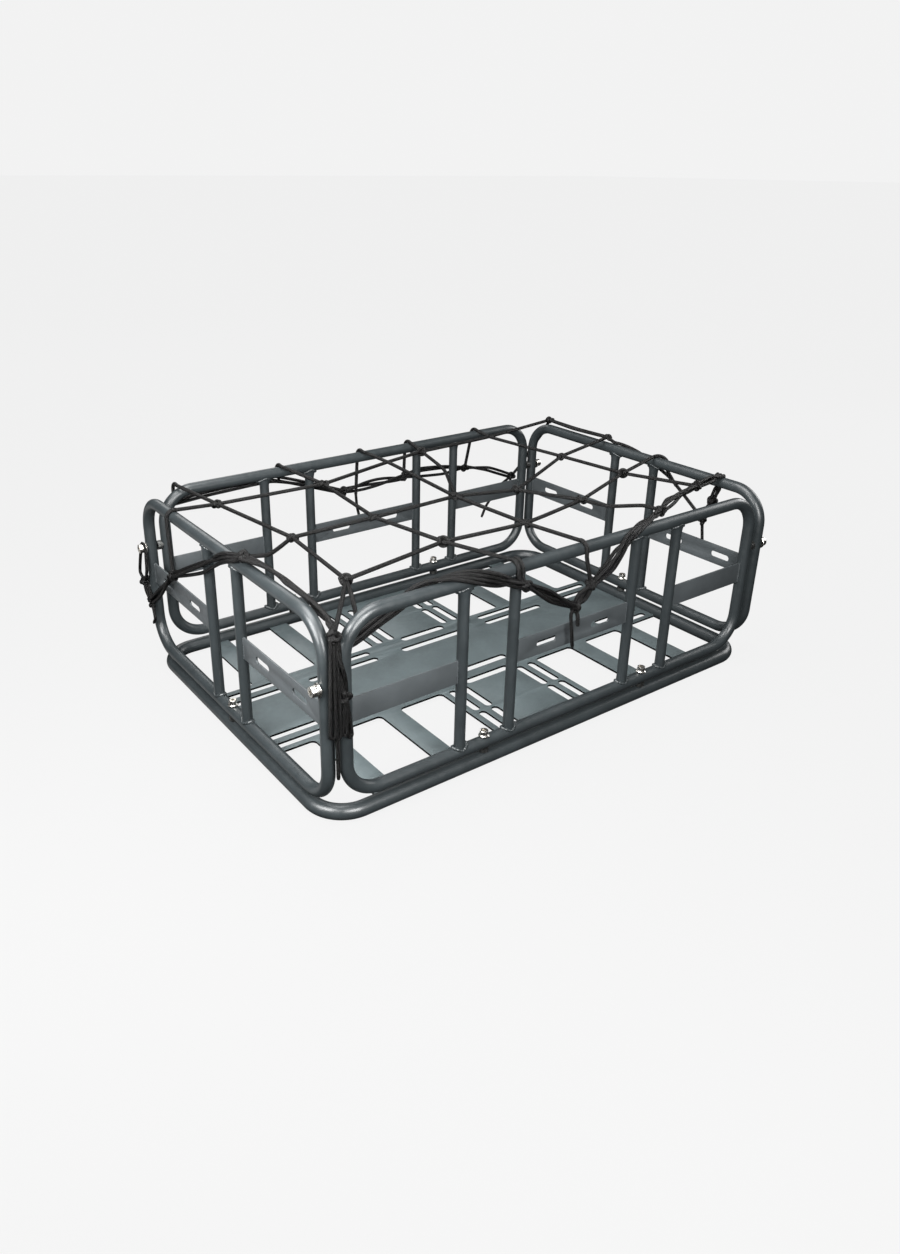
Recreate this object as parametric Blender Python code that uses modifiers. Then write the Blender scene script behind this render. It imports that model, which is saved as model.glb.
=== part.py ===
"""A bolted cargo basket for a carrier bicycle, with an elastic cord net over its top.

Metres, +Z up. The origin is the middle of the base ring's footprint, on the ground under it. X runs
along the long sides. The base ring and its slotted plate are the floor. Four tubular panels stand on
the ring, each axis over axis, screwed down to it and to each other at the corners.
"""

import math

import bmesh
import bpy
from mathutils import Matrix, Vector

MM = 0.001
GAP = 0.3 * MM

# Base: a tubular ring, and a plate inside it.
BASE_TUBE = 15.4 * MM
BASE_HALF_X = 287.0 * MM
BASE_HALF_Y = 192.0 * MM
BASE_CORNER = 35.0 * MM
PLATE_TOP = 6.2 * MM
PLATE_THICK = 2.5 * MM
PLATE_EDGE_GAP = 0.5 * MM

# Panels: upright rounded rectangles of tube.
RAIL_TUBE = 12.7 * MM
RAIL_R = RAIL_TUBE / 2
PANEL_LOW = 26.0 * MM
PANEL_HIGH = 203.8 * MM
PANEL_CORNER = 36.0 * MM
LONG_HALF = 269.2 * MM
LONG_Y = BASE_HALF_Y
SHORT_HALF = 192.0 * MM
SHORT_X = 287.5 * MM
UPRIGHT_TUBE = 11.0 * MM
LONG_UPRIGHTS = (-142.5 * MM, -81.0 * MM, 81.0 * MM, 142.5 * MM)
SHORT_UPRIGHTS = (-32.5 * MM, 32.5 * MM)

# Strips: flat bars half way up the panels.
STRIP_THICK = 2.0 * MM
STRIP_HIGH = 24.0 * MM
STRIP_Z = 115.0 * MM
STRIP_SLOT = (26.0 * MM, 7.0 * MM)

# Fasteners.
CORNER_SCREW_Z = 145.0 * MM
CORNER_HEAD = (5.0 * MM, 8.0 * MM)
CORNER_FLANGE = (6.5 * MM, 1.5 * MM)
CORNER_SHANK = 2.7 * MM
CORNER_REACH = 7.0 * MM
CORNER_KEY = 2.9 * MM
BASE_SCREW_X = 112.0 * MM
BASE_HEAD = (4.25 * MM, 6.5 * MM)
BASE_FLANGE = (5.5 * MM, 1.5 * MM)
BASE_SHANK = 2.3 * MM
BASE_REACH = 6.0 * MM
BASE_KEY = 2.4 * MM
INSERT_FLANGE = 5.3 * MM
INSERT_WALL = 1.1 * MM
INSERT_DEPTH = 9.0 * MM

# Net.
CORD = 4.2 * MM
BUNDLE = 7.2 * MM
KNOT = 9.6 * MM
SPAN_STEP = 80.0 * MM
WRAP_STEP = 35.0
LAST_ANGLE = 10.0

TUBE_SIDES = 14
CORNER_STEPS = 6
SLOT_STEPS = 3
TURN_STEPS = 12

BLACK_COAT = ((0.030, 0.037, 0.039), 0.45, 0.25)
PLATE_COAT = ((0.042, 0.052, 0.054), 0.50, 0.25)
NICKEL = ((0.72, 0.70, 0.67), 0.28, 1.0)
DARK_STEEL = ((0.09, 0.09, 0.09), 0.40, 0.9)
CORD_BLACK = ((0.012, 0.011, 0.011), 0.85, 0.0)


def clear_scene():
    for old in list(bpy.data.objects):
        bpy.data.objects.remove(old, do_unlink=True)


def new_collection(name):
    made = bpy.data.collections.new(name)
    bpy.context.scene.collection.children.link(made)
    return made


clear_scene()
PARTS = new_collection("cargo_basket")
CUTTERS = new_collection("cutters")


def material(name, look):
    colour, roughness, metallic = look
    made = bpy.data.materials.new(name)
    made.use_nodes = True
    shader = made.node_tree.nodes["Principled BSDF"]
    shader.inputs["Base Color"].default_value = (*colour, 1.0)
    shader.inputs["Roughness"].default_value = roughness
    shader.inputs["Metallic"].default_value = metallic
    made.diffuse_color = (*colour, 1.0)
    return made


def add_part(name, data, look=None):
    part = bpy.data.objects.new(name, data)
    PARTS.objects.link(part)
    if look:
        data.materials.append(material(name, look))
    return part


def add_cutter(name, data):
    cutter = bpy.data.objects.new(name, data)
    CUTTERS.objects.link(cutter)
    cutter.hide_render = True
    cutter.display_type = "WIRE"
    return cutter


# --- outlines -------------------------------------------------------------------------------------


def rounded_outline(corners, steps):
    """Points of a closed outline. Each corner is (x, y, radius), and a radius makes an arc there."""
    points = []
    for i, (x, y, radius) in enumerate(corners):
        here = Vector((x, y))
        back = (Vector(corners[i - 1][:2]) - here).normalized()
        ahead = (Vector(corners[(i + 1) % len(corners)][:2]) - here).normalized()
        if radius == 0:
            points.append(here)
            continue
        half_angle = back.angle(ahead) / 2
        middle = here + (back + ahead).normalized() * (radius / math.sin(half_angle))
        start = here + back * (radius / math.tan(half_angle)) - middle
        sweep = start.angle_signed(here + ahead * (radius / math.tan(half_angle)) - middle)
        for k in range(steps + 1):
            points.append(middle + Matrix.Rotation(-sweep * k / steps, 2) @ start)
    return points


def rectangle(half_x, low_y, high_y, radius):
    corners = [(half_x, low_y), (half_x, high_y), (-half_x, high_y), (-half_x, low_y)]
    return rounded_outline([(x, y, radius) for x, y in corners], CORNER_STEPS)


def slot_outline(x, y, length, width, along_y=False):
    """A slot with round ends, its length along X or along Y."""
    points = []
    for end in (1, -1):
        for k in range(SLOT_STEPS + 1):
            angle = end * math.pi / 2 - math.pi / 2 + math.pi * (k / SLOT_STEPS - 0.5)
            u = end * (length - width) / 2 + math.cos(angle) * width / 2
            v = math.sin(angle) * width / 2
            points.append(Vector((x - v, y + u)) if along_y else Vector((x + u, y + v)))
    return points


# --- bodies ---------------------------------------------------------------------------------------


def poly_spline(curve, points, closed):
    spline = curve.splines.new("POLY")
    spline.points.add(len(points) - 1)
    for target, point in zip(spline.points, points):
        target.co = (*Vector(point).to_3d(), 1.0)
    spline.use_cyclic_u = closed


def sheet_curve(name, outline, holes, thickness):
    curve = bpy.data.curves.new(name, "CURVE")
    curve.dimensions = "2D"
    curve.fill_mode = "BOTH"
    curve.extrude = thickness / 2
    for points in [outline] + holes:
        poly_spline(curve, points, True)
    return curve


def tube_curve(name, points, diameter, sides, closed=False):
    curve = bpy.data.curves.new(name, "CURVE")
    curve.dimensions = "3D"
    curve.bevel_depth = diameter / 2
    curve.bevel_resolution = sides // 2 - 2
    curve.use_fill_caps = True
    poly_spline(curve, points, closed)
    return curve


def mesh_of(obj):
    """The object's evaluated mesh in world space, its caps welded. The object is removed."""
    bpy.context.view_layer.update()
    graph = bpy.context.evaluated_depsgraph_get()
    mesh = bpy.data.meshes.new_from_object(obj.evaluated_get(graph), depsgraph=graph)
    mesh.transform(obj.matrix_world)
    work = bmesh.new()
    work.from_mesh(mesh)
    bmesh.ops.remove_doubles(work, verts=work.verts, dist=0.001 * MM)
    bmesh.ops.recalc_face_normals(work, faces=work.faces)
    work.to_mesh(mesh)
    work.free()
    bpy.data.objects.remove(obj, do_unlink=True)
    return mesh


def mesh_of_curve(curve):
    return mesh_of(add_cutter("curve", curve))


def cylinder_mesh(name, radius, start, end, sides):
    """A capped cylinder between two points."""
    start, end = Vector(start), Vector(end)
    turn = (end - start).to_track_quat("Z", "Y").to_matrix().to_4x4()
    place = Matrix.Translation((start + end) / 2) @ turn
    mesh = bpy.data.meshes.new(name)
    work = bmesh.new()
    bmesh.ops.create_cone(
        work, cap_ends=True, segments=sides, radius1=radius, radius2=radius,
        depth=(end - start).length, matrix=place,
    )
    work.to_mesh(mesh)
    work.free()
    return mesh


def ball_mesh(name, centre, diameter):
    mesh = bpy.data.meshes.new(name)
    work = bmesh.new()
    bmesh.ops.create_uvsphere(
        work, u_segments=8, v_segments=5, radius=diameter / 2, matrix=Matrix.Translation(centre)
    )
    work.to_mesh(mesh)
    work.free()
    return mesh


def cut_with(part, cutter):
    boolean = part.modifiers.new(cutter.name, "BOOLEAN")
    boolean.operation = "DIFFERENCE"
    boolean.object = cutter


def smooth(mesh, degrees=35.0):
    mesh.shade_smooth()
    mesh.set_sharp_from_angle(angle=math.radians(degrees))


# --- base -----------------------------------------------------------------------------------------


def base_insert_spots():
    """(x, y) of the six screws that hold the panels down."""
    spots = [(x, y) for x in (-BASE_SCREW_X, BASE_SCREW_X) for y in (-LONG_Y, LONG_Y)]
    return spots + [(-SHORT_X, 0.0), (SHORT_X, 0.0)]


def build_base_ring():
    outline = rectangle(BASE_HALF_X, -BASE_HALF_Y, BASE_HALF_Y, BASE_CORNER)
    curve = tube_curve("base_ring", outline, BASE_TUBE, TUBE_SIDES + 2, closed=True)
    mesh = mesh_of_curve(curve)
    mesh.transform(Matrix.Translation((0, 0, BASE_TUBE / 2)))
    ring = add_part("base_ring", mesh, BLACK_COAT)
    for i, (x, y) in enumerate(base_insert_spots()):
        hole = BASE_SHANK + INSERT_WALL + 2 * GAP
        top = (x, y, BASE_TUBE + 2 * MM)
        bottom = (x, y, BASE_TUBE - INSERT_DEPTH - GAP)
        cutter = add_cutter(f"base_hole_{i + 1}", cylinder_mesh("hole", hole, bottom, top, TURN_STEPS))
        cut_with(ring, cutter)
    smooth(mesh)


def plate_outline():
    """A quarter of the plate's edge, mirrored to the other three."""
    end_x = BASE_HALF_X - BASE_TUBE / 2 - PLATE_EDGE_GAP
    end_y = BASE_HALF_Y - BASE_TUBE / 2 - PLATE_EDGE_GAP
    band = 68.0 * MM
    fillet = 5.5 * MM
    arms = ((207.5 * MM, 232.0 * MM), (126.5 * MM, 151.0 * MM))
    quarter = [(end_x, band, 0.0)]
    for inner, outer in arms:
        quarter += [(outer, band, fillet), (outer, end_y, 0.0), (inner, end_y, 0.0), (inner, band, fillet)]
    middle = 70.0 * MM
    quarter += [(middle, band, fillet), (middle, end_y, 0.0)]
    second = [(-x, y, r) for x, y, r in reversed(quarter)]
    upper = quarter + second
    lower = [(x, -y, r) for x, y, r in reversed(upper)]
    return rounded_outline(upper + lower, SLOT_STEPS)


def plate_slots():
    """(x, y, length, width, along_y) of the slots in the quarter where x and y are positive, mirrored."""
    row, centre, cross = 8.5 * MM, 10.0 * MM, 9.0 * MM
    quarter = [
        (114.5 * MM, 57.0 * MM, 61.0 * MM, row, False),
        (236.0 * MM, 57.0 * MM, 72.0 * MM, row, False),
        (129.5 * MM, 40.0 * MM, 93.0 * MM, row, False),
        (236.0 * MM, 40.0 * MM, 72.0 * MM, row, False),
    ]
    for x in (41.0 * MM, 58.0 * MM):
        for y in (94.5 * MM, 146.75 * MM):
            quarter.append((x, y, 48.25 * MM, cross, True))
    slots = [(sx * x, sy * y, *rest) for x, y, *rest in quarter for sx in (1, -1) for sy in (1, -1)]
    for sy in (1, -1):
        slots.append((0.0, sy * 63.5 * MM, 64.0 * MM, centre, False))
        slots.append((0.0, sy * 40.3 * MM, 94.0 * MM, centre, False))
    return slots


def build_base_plate():
    holes = [slot_outline(*slot) for slot in plate_slots()]
    mesh = mesh_of_curve(sheet_curve("base_plate", plate_outline(), holes, PLATE_THICK))
    mesh.transform(Matrix.Translation((0, 0, PLATE_TOP - PLATE_THICK / 2)))
    add_part("base_plate", mesh, PLATE_COAT)


# --- panels ---------------------------------------------------------------------------------------


def long_frame(sign):
    """Turns a panel drawn in XY, its height along Y, to stand along X at the front or the rear."""
    return Matrix.Translation((0, sign * LONG_Y, 0)) @ Matrix.Rotation(math.pi / 2, 4, "X")


def short_frame(sign):
    """The same for a panel that stands along Y, at the left or the right."""
    upright = Matrix.Rotation(math.pi / 2, 4, "Z") @ Matrix.Rotation(math.pi / 2, 4, "X")
    return Matrix.Translation((sign * SHORT_X, 0, 0)) @ upright


def build_ring(name, frame, half, holes):
    """A panel's tube, with the screws' holes cut in it. A hole is (radius, start, end)."""
    outline = rectangle(half, PANEL_LOW, PANEL_HIGH, PANEL_CORNER)
    mesh = mesh_of_curve(tube_curve(name, outline, RAIL_TUBE, TUBE_SIDES, closed=True))
    mesh.transform(frame)
    ring = add_part(f"{name}_ring", mesh, BLACK_COAT)
    for i, (radius, start, end) in enumerate(holes):
        hole = cylinder_mesh("hole", radius, start, end, TURN_STEPS)
        cut_with(ring, add_cutter(f"{name}_hole_{i + 1}", hole))
    smooth(mesh)


def rail_clearances(name, frame, half):
    """Cutters that shape the uprights' ends to the two rails."""
    cutters = []
    for label, height in (("bottom", PANEL_LOW), ("top", PANEL_HIGH)):
        start = frame @ Vector((-half, height, 0))
        end = frame @ Vector((half, height, 0))
        mesh = cylinder_mesh("rail", RAIL_R + GAP, start, end, TUBE_SIDES + 2)
        cutters.append(add_cutter(f"{name}_{label}_clearance", mesh))
    return cutters


def build_uprights(name, frame, places, clearances):
    inset = 3.0 * MM
    for i, place in enumerate(places):
        start = frame @ Vector((place, PANEL_LOW + inset, 0))
        end = frame @ Vector((place, PANEL_HIGH - inset, 0))
        mesh = cylinder_mesh("upright", UPRIGHT_TUBE / 2, start, end, TUBE_SIDES - 2)
        smooth(mesh)
        upright = add_part(f"{name}_upright_{i + 1}", mesh, BLACK_COAT)
        for cutter in clearances:
            cut_with(upright, cutter)


def build_strip(name, frame, start, end, slot_places):
    """A flat bar between two tubes, with slots at the places given along it."""
    low, high = STRIP_Z - STRIP_HIGH / 2, STRIP_Z + STRIP_HIGH / 2
    outline = [Vector(p) for p in ((start, low), (end, low), (end, high), (start, high))]
    holes = [slot_outline(place, STRIP_Z, *STRIP_SLOT) for place in slot_places]
    mesh = mesh_of_curve(sheet_curve(name, outline, holes, STRIP_THICK))
    mesh.transform(frame)
    add_part(name, mesh, BLACK_COAT)


def build_long_panel(name, sign):
    frame = long_frame(sign)
    y = sign * LONG_Y
    holes = []
    for side in (-1, 1):
        x = side * BASE_SCREW_X
        low, high = PANEL_LOW - RAIL_TUBE, PANEL_LOW + RAIL_TUBE
        holes.append((BASE_SHANK + GAP, (x, y, low), (x, y, high)))
        mouth = (side * (LONG_HALF + RAIL_TUBE), y, CORNER_SCREW_Z)
        inner = (side * (LONG_HALF + RAIL_R - INSERT_DEPTH - GAP), y, CORNER_SCREW_Z)
        holes.append((CORNER_SHANK + INSERT_WALL + 2 * GAP, inner, mouth))
    build_ring(name, frame, LONG_HALF, holes)
    build_uprights(name, frame, LONG_UPRIGHTS, rail_clearances(name, frame, LONG_HALF))
    leg = LONG_HALF - RAIL_R - GAP
    outer = LONG_UPRIGHTS[3] + UPRIGHT_TUBE / 2 + GAP
    inner = LONG_UPRIGHTS[2] - UPRIGHT_TUBE / 2 - GAP
    build_strip(f"{name}_strip_1", frame, -leg, -outer, ())
    build_strip(f"{name}_strip_2", frame, -inner, inner, (-37.0 * MM, 37.0 * MM))
    build_strip(f"{name}_strip_3", frame, outer, leg, ())


def build_short_panel(name, sign):
    frame = short_frame(sign)
    x = sign * SHORT_X
    low, high = PANEL_LOW - RAIL_TUBE, PANEL_LOW + RAIL_TUBE
    holes = [(BASE_SHANK + GAP, (x, 0, low), (x, 0, high))]
    for y in (-SHORT_HALF, SHORT_HALF):
        start, end = (x - RAIL_TUBE, y, CORNER_SCREW_Z), (x + RAIL_TUBE, y, CORNER_SCREW_Z)
        holes.append((CORNER_SHANK + GAP, start, end))
    build_ring(name, frame, SHORT_HALF, holes)
    build_uprights(name, frame, SHORT_UPRIGHTS, rail_clearances(name, frame, SHORT_HALF))
    leg = SHORT_HALF - RAIL_R - GAP
    inner = SHORT_UPRIGHTS[1] + UPRIGHT_TUBE / 2 + GAP
    slots = (77.0 * MM, 147.5 * MM)
    build_strip(f"{name}_strip_1", frame, -leg, -inner, [-place for place in slots])
    build_strip(f"{name}_strip_2", frame, inner, leg, slots)


# --- fasteners ------------------------------------------------------------------------------------


def turned_mesh(name, profile, closed):
    """The solid turned from a profile of (radius, height) points about Z."""
    mesh = bpy.data.meshes.new(name)
    count = len(profile)
    edges = [(i, i + 1) for i in range(count - 1)]
    if closed:
        edges.append((count - 1, 0))
    mesh.from_pydata([(radius, 0, height) for radius, height in profile], edges, [])
    turned = add_cutter(name, mesh)
    screw = turned.modifiers.new("turn", "SCREW")
    screw.steps = TURN_STEPS
    screw.render_steps = TURN_STEPS
    screw.use_merge_vertices = True
    screw.merge_threshold = 0.001 * MM
    return mesh_of(turned)


def screw_mesh(name, head, flange, shank, length, key):
    """A flanged socket-head screw, pointing down, the flange's underside at Z = 0."""
    head_r, head_h = head
    flange_r, flange_h = flange
    chamfer = 0.6 * MM
    profile = [
        (0, head_h),
        (head_r - chamfer, head_h),
        (head_r, head_h - chamfer),
        (head_r, flange_h),
        (flange_r, flange_h),
        (flange_r, 0),
        (shank, 0),
        (shank, -length),
        (0, -length),
    ]
    body = add_cutter(name, turned_mesh(name, profile, False))
    socket_start, socket_end = (0, 0, head_h * 0.45), (0, 0, head_h + MM)
    cut_with(body, add_cutter(f"{name}_socket", cylinder_mesh("socket", key, socket_start, socket_end, 6)))
    mesh = mesh_of(body)
    mesh.materials.append(material(name, NICKEL))
    smooth(mesh)
    return mesh


def insert_mesh(name, bore, flange_high):
    """A threaded sleeve, its flange from Z = 0 up and its body below."""
    body = bore + INSERT_WALL
    depth = INSERT_DEPTH - GAP
    profile = [
        (INSERT_FLANGE, flange_high), (INSERT_FLANGE, 0), (body, 0),
        (body, -depth), (bore, -depth), (bore, flange_high),
    ]
    mesh = turned_mesh(name, profile, True)
    mesh.materials.append(material(name, DARK_STEEL))
    smooth(mesh)
    return mesh


def build_corner_fasteners():
    """Screws along X through the short panels' legs into the long ones', heads outwards."""
    gap = SHORT_X - LONG_HALF - RAIL_TUBE
    length = RAIL_TUBE + gap + CORNER_REACH
    screw = screw_mesh("corner_screw", CORNER_HEAD, CORNER_FLANGE, CORNER_SHANK, length, CORNER_KEY)
    insert = insert_mesh("corner_insert", CORNER_SHANK + GAP / 2, gap - 2 * GAP)
    number = 0
    for side in (-1, 1):
        for y in (-LONG_Y, LONG_Y):
            number += 1
            turn = (0, side * math.pi / 2, 0)
            head = add_part(f"corner_screw_{number}", screw)
            head.location = (side * (SHORT_X + RAIL_R + GAP), y, CORNER_SCREW_Z)
            head.rotation_euler = turn
            sleeve = add_part(f"corner_insert_{number}", insert)
            sleeve.location = (side * (LONG_HALF + RAIL_R + GAP), y, CORNER_SCREW_Z)
            sleeve.rotation_euler = turn


def build_base_fasteners():
    """Screws straight down through the panels' bottom rails into the base ring."""
    gap = PANEL_LOW - RAIL_R - BASE_TUBE
    length = RAIL_TUBE + gap + BASE_REACH
    screw = screw_mesh("base_screw", BASE_HEAD, BASE_FLANGE, BASE_SHANK, length, BASE_KEY)
    insert = insert_mesh("base_insert", BASE_SHANK + GAP / 2, gap - 2 * GAP)
    for i, (x, y) in enumerate(base_insert_spots()):
        head = add_part(f"base_screw_{i + 1}", screw)
        head.location = (x, y, PANEL_LOW + RAIL_R + GAP)
        sleeve = add_part(f"base_insert_{i + 1}", insert)
        sleeve.location = (x, y, BASE_TUBE + GAP)


# --- net ------------------------------------------------------------------------------------------

# Knots, in millimetres. The first group is the part of the net that lifts with a hand.
MIDDLE_KNOTS = {
    "m1": (-105, 116, 206), "m2": (-117, -8, 205), "m3": (-101, -106, 206), "m4": (-5, -1, 205),
    "m5": (0, -112, 206), "m6": (66, -24, 205.5), "m7": (101, -92, 206),
}
BORDER_KNOTS = {
    "left_rear": (-235, 120, 206), "left_mid": (-217, -13, 206), "left_front": (-228, -131, 206),
    "rear_in": (63, 156, 208), "right_in": (199, 43, 207), "right_mid": (210, -51, 207),
    "front_in": (140, -170, 209), "right_front": (241, -134, 208),
    "left_top": (-289, -53, 215.5), "left_side": (-297.2, 106, 142),
    "right_top": (290, 52, 215.8), "right_rear": (291, 164, 215.3), "right_drop": (297.2, -118, 174),
    "right_side": (297.2, -108, 147),
    "rear_1": (-27, 202.7, 159), "rear_2": (68, 202.7, 161), "rear_3": (172, 202.7, 157),
    "rear_4": (259, 202.7, 129),
    "front_1": (-79, -202.7, 189), "front_2": (-11, -202.7, 149), "front_3": (8, -202.7, 168),
    "corner": (-283, -200, 195),
}
TIE_KNOT = (-275, -202.7, 138)
HITCH_KNOT = (-297.2, 198.5, 103)
HITCH_FOOT = (-297.2, 184.5, 82)
HITCH_ANGLES = (-15, 30, 65, 100, 135, 170, 195)


def over(side, place, drop=0.0, slant=0.0, thickness=CORD, first=115):
    """A cord's points over a top rail, from the basket's inside to `drop` below the rail outside.

    side is front, rear, left or right. place is how far along the rail the cord is inside, and slant
    how much further along it is outside, in millimetres. first is the angle at which it starts.
    """
    along = Vector((1, 0, 0)) if side in ("front", "rear") else Vector((0, 1, 0))
    outward, base = {
        "rear": (Vector((0, 1, 0)), Vector((place * MM, LONG_Y, 0))),
        "front": (Vector((0, -1, 0)), Vector((place * MM, -LONG_Y, 0))),
        "left": (Vector((-1, 0, 0)), Vector((-SHORT_X, place * MM, 0))),
        "right": (Vector((1, 0, 0)), Vector((SHORT_X, place * MM, 0))),
    }[side]
    around = RAIL_R + thickness / 2 + 2 * GAP
    points = []
    turns = round((first - LAST_ANGLE) / WRAP_STEP)
    for k in range(turns + 1):
        angle = math.radians(first + (LAST_ANGLE - first) * k / turns)
        lift = Vector((0, 0, PANEL_HIGH + around * math.sin(angle)))
        shift = along * (slant * MM * k / turns)
        points.append(base + outward * (around * math.cos(angle)) + lift + shift)
    if drop:
        below = Vector((0, 0, PANEL_HIGH - drop * MM))
        points.append(base + outward * around + below + along * (slant * MM))
    return points


# Each strand is its thickness and its route: knots by name, points in millimetres, or a rail wrap.
MIDDLE_STRANDS = [
    (CORD, ["m1", "m2", "m3", "m5", "m7", "m6", "m4", "m5"]),
    (CORD, ["m2", "m4"]),
]
BORDER_STRANDS = [
    (CORD, ["left_rear", over("rear", -252, 6), (-246, 202, 191)]),
    (CORD, ["m1", over("rear", -121, 6), (-117, 202, 192)]),
    (CORD, ["m4", (2, 143, 207.5), over("rear", -6, 6), (-8, 202, 152)]),
    (CORD, ["m1", (2, 143, 207.5), "rear_in", over("rear", 68, 6), "rear_2"]),
    (CORD, ["rear_in", (45, 85, 205), "m4"]),
    (CORD, ["right_in", (178, 160, 209), over("rear", 179, 6), "rear_3"]),
    (CORD, ["rear_in", (178, 160, 209), "right_rear"]),
    (CORD, ["left_front", "left_mid", "left_rear", "m1"]),
    (CORD, ["left_rear", over("left", 112, 8), "left_side"]),
    (CORD, ["left_mid", (-262, -50, 210.5), "left_top"]),
    (CORD, ["left_mid", "m2"]),
    (CORD, ["left_front", "m3"]),
    (CORD, ["left_front", (-252, -163, 204), "corner"]),
    (CORD, ["left_front", (-241, -160, 200), (-248, -180.5, 180)]),
    (CORD, ["m3", over("front", -84, 6), "front_1"]),
    (CORD, ["m5", over("front", 1, 6), "front_3"]),
    (CORD, ["m6", "right_in", "right_top"]),
    (CORD, ["right_in", "right_mid", "right_front"]),
    (CORD, ["m7", "right_mid", over("right", -34, 8, -12), (298, -62, 178)]),
    (CORD, ["m7", (111, -124, 206), (140, -145, 207), "front_in"]),
    (BUNDLE, ["right_front", over("right", -133, 8, 7, BUNDLE), "right_drop", "right_side"]),
    (BUNDLE, ["front_in", (190, -150, 209), "right_front"]),
    (BUNDLE, ["left_top", over("left", -50, 0, 30, BUNDLE, 80), (-298.2, 11, 186), "left_side"]),
    (BUNDLE, ["left_side", "foot"]),
    (BUNDLE, ["left_top", (-281, -84, 214), (-276.2, -115, 209), (-275.5, -155, 205),
              (-275.5, -184, 198), "corner"]),
    (BUNDLE, ["corner", (-277, -193, 187), (-275, -183, 184), (-266, -180.5, 177), (-257, -181, 172),
              (-231, -181, 184), (-208, -181.5, 195), over("front", -200, 0, 79, BUNDLE, 170), "front_1"]),
    (BUNDLE, ["front_1", "front_2", "front_3", (32, -202.7, 184),
              over("front", 92, 0, -36, BUNDLE, 110)[::-1], "front_in"]),
    (BUNDLE, [(-252, 202.7, 188), (-200, 202.7, 192), (-128, 202.7, 193), "rear_1", "rear_2",
              (120, 202.7, 162), "rear_3", (215, 202.7, 147), "rear_4"]),
    (CORD, ["rear_4", (280, 203, 146), (292, 202.5, 162), (298.5, 196, 176), (299, 184, 192),
            "right_rear"]),
    (BUNDLE, ["right_rear", (289, 110, 214.5), "right_top"]),
    (CORD, ["right_top", over("right", 38, 0, -40, CORD, 85), (298.2, -50, 186), (298, -94, 157), "right_side"]),
    (CORD, ["front_2", (-15, -204, 138), (-10, -204, 124), (-11, -204, 105)]),
    (CORD, ["front_2", (-8.5, -204.5, 130)]),
    (CORD, [(-8, 202, 152), (-6, 203, 135), (-2, 203, 117)]),
    (CORD, ["rear_4", (238, 203, 118), (214, 203, 92), (206, 203, 76)]),
    (CORD, ["right_side", (298.5, -108, 136), (298.5, -111, 122)]),
]
TIE_STRANDS = [
    (BUNDLE, [(-286.5, -203.4, 186), (-287, -203.4, 150), (-285, -203.4, 101)]),
    (BUNDLE, [(-281, -203, 186), (-277.5, -203, 160), TIE_KNOT, (-273.8, -202.7, 115), (-271.8, -202.7, 97)]),
    (CORD, [(-285, -203.4, 104), (-284.5, -203.6, 84), (-284.4, -203.6, 58.5)]),
]


def hitch_strands():
    """The loop over the far left corner screw's head, down to its knot, and on to the one below."""
    around = CORNER_HEAD[0] + CORD / 2 + 2 * GAP
    x = HITCH_KNOT[0] * MM
    loop = [Vector(HITCH_KNOT) * MM]
    for degrees in HITCH_ANGLES:
        angle = math.radians(degrees)
        y = LONG_Y + around * math.cos(angle)
        loop.append(Vector((x - 1.2 * MM, y, CORNER_SCREW_Z + around * math.sin(angle))))
    loop.append(Vector((x, LONG_Y - 3 * MM, 122 * MM)))
    loop.append(Vector(HITCH_KNOT) * MM)
    return [(CORD, [loop]), (CORD, [HITCH_KNOT, HITCH_FOOT])]


def route_points(route, knots):
    """The route in metres: names looked up, single points scaled, wraps taken as they are."""
    points = []
    for item in route:
        if isinstance(item, str):
            points.append(Vector(knots[item]) * MM)
        elif isinstance(item, tuple):
            points.append(Vector(item) * MM)
        else:
            points += item
    return points


def trimmed(points, at_start, at_end):
    """The route with its ends pulled back from a knot of another node."""
    points = list(points)
    back = KNOT / 2 + 2 * GAP
    if at_start:
        points[0] = points[0] + (points[1] - points[0]).normalized() * back
    if at_end:
        points[-1] = points[-1] + (points[-2] - points[-1]).normalized() * back
    return points


def curved(points):
    """A smooth line through the points, with few points on its long stretches."""
    line = []
    for i in range(len(points) - 1):
        start, end = points[i], points[i + 1]
        before = points[i - 1] if i else start
        after = points[i + 2] if i + 2 < len(points) else end
        span = (end - start).length
        into = (end - before).normalized() * span
        out = (after - start).normalized() * span
        count = max(1, round(span / SPAN_STEP))
        for k in range(count):
            t = k / count
            line.append(
                start * (2 * t**3 - 3 * t**2 + 1) + end * (3 * t**2 - 2 * t**3)
                + (into * (t**3 - 2 * t**2 + t) + out * (t**3 - t**2)) * 0.5
            )
    return line + [points[-1]]


def build_cords(name, strands, knots, own_knots):
    """One node of the net: its strands and its own knots joined in one solid."""
    group = new_collection(f"{name}_pieces")
    pieces = [tuple(centre) for centre in own_knots]
    meshes = [ball_mesh("knot", Vector(centre) * MM, KNOT) for centre in pieces]
    own = set(pieces)
    for thickness, route in strands:
        ends = [knots[item] if isinstance(item, str) else None for item in (route[0], route[-1])]
        foreign = [end is not None and tuple(end) not in own for end in ends]
        line = curved(trimmed(route_points(route, knots), *foreign))
        meshes.append(mesh_of_curve(tube_curve("strand", line, thickness, 8)))
    whole = add_part(name, meshes[0], CORD_BLACK)
    for i, mesh in enumerate(meshes[1:]):
        piece = bpy.data.objects.new(f"{name}_piece_{i + 1}", mesh)
        group.objects.link(piece)
        piece.hide_render = True
        piece.display_type = "WIRE"
    union = whole.modifiers.new("joined", "BOOLEAN")
    union.operation = "UNION"
    union.operand_type = "COLLECTION"
    union.collection = group
    group.hide_render = True


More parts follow.
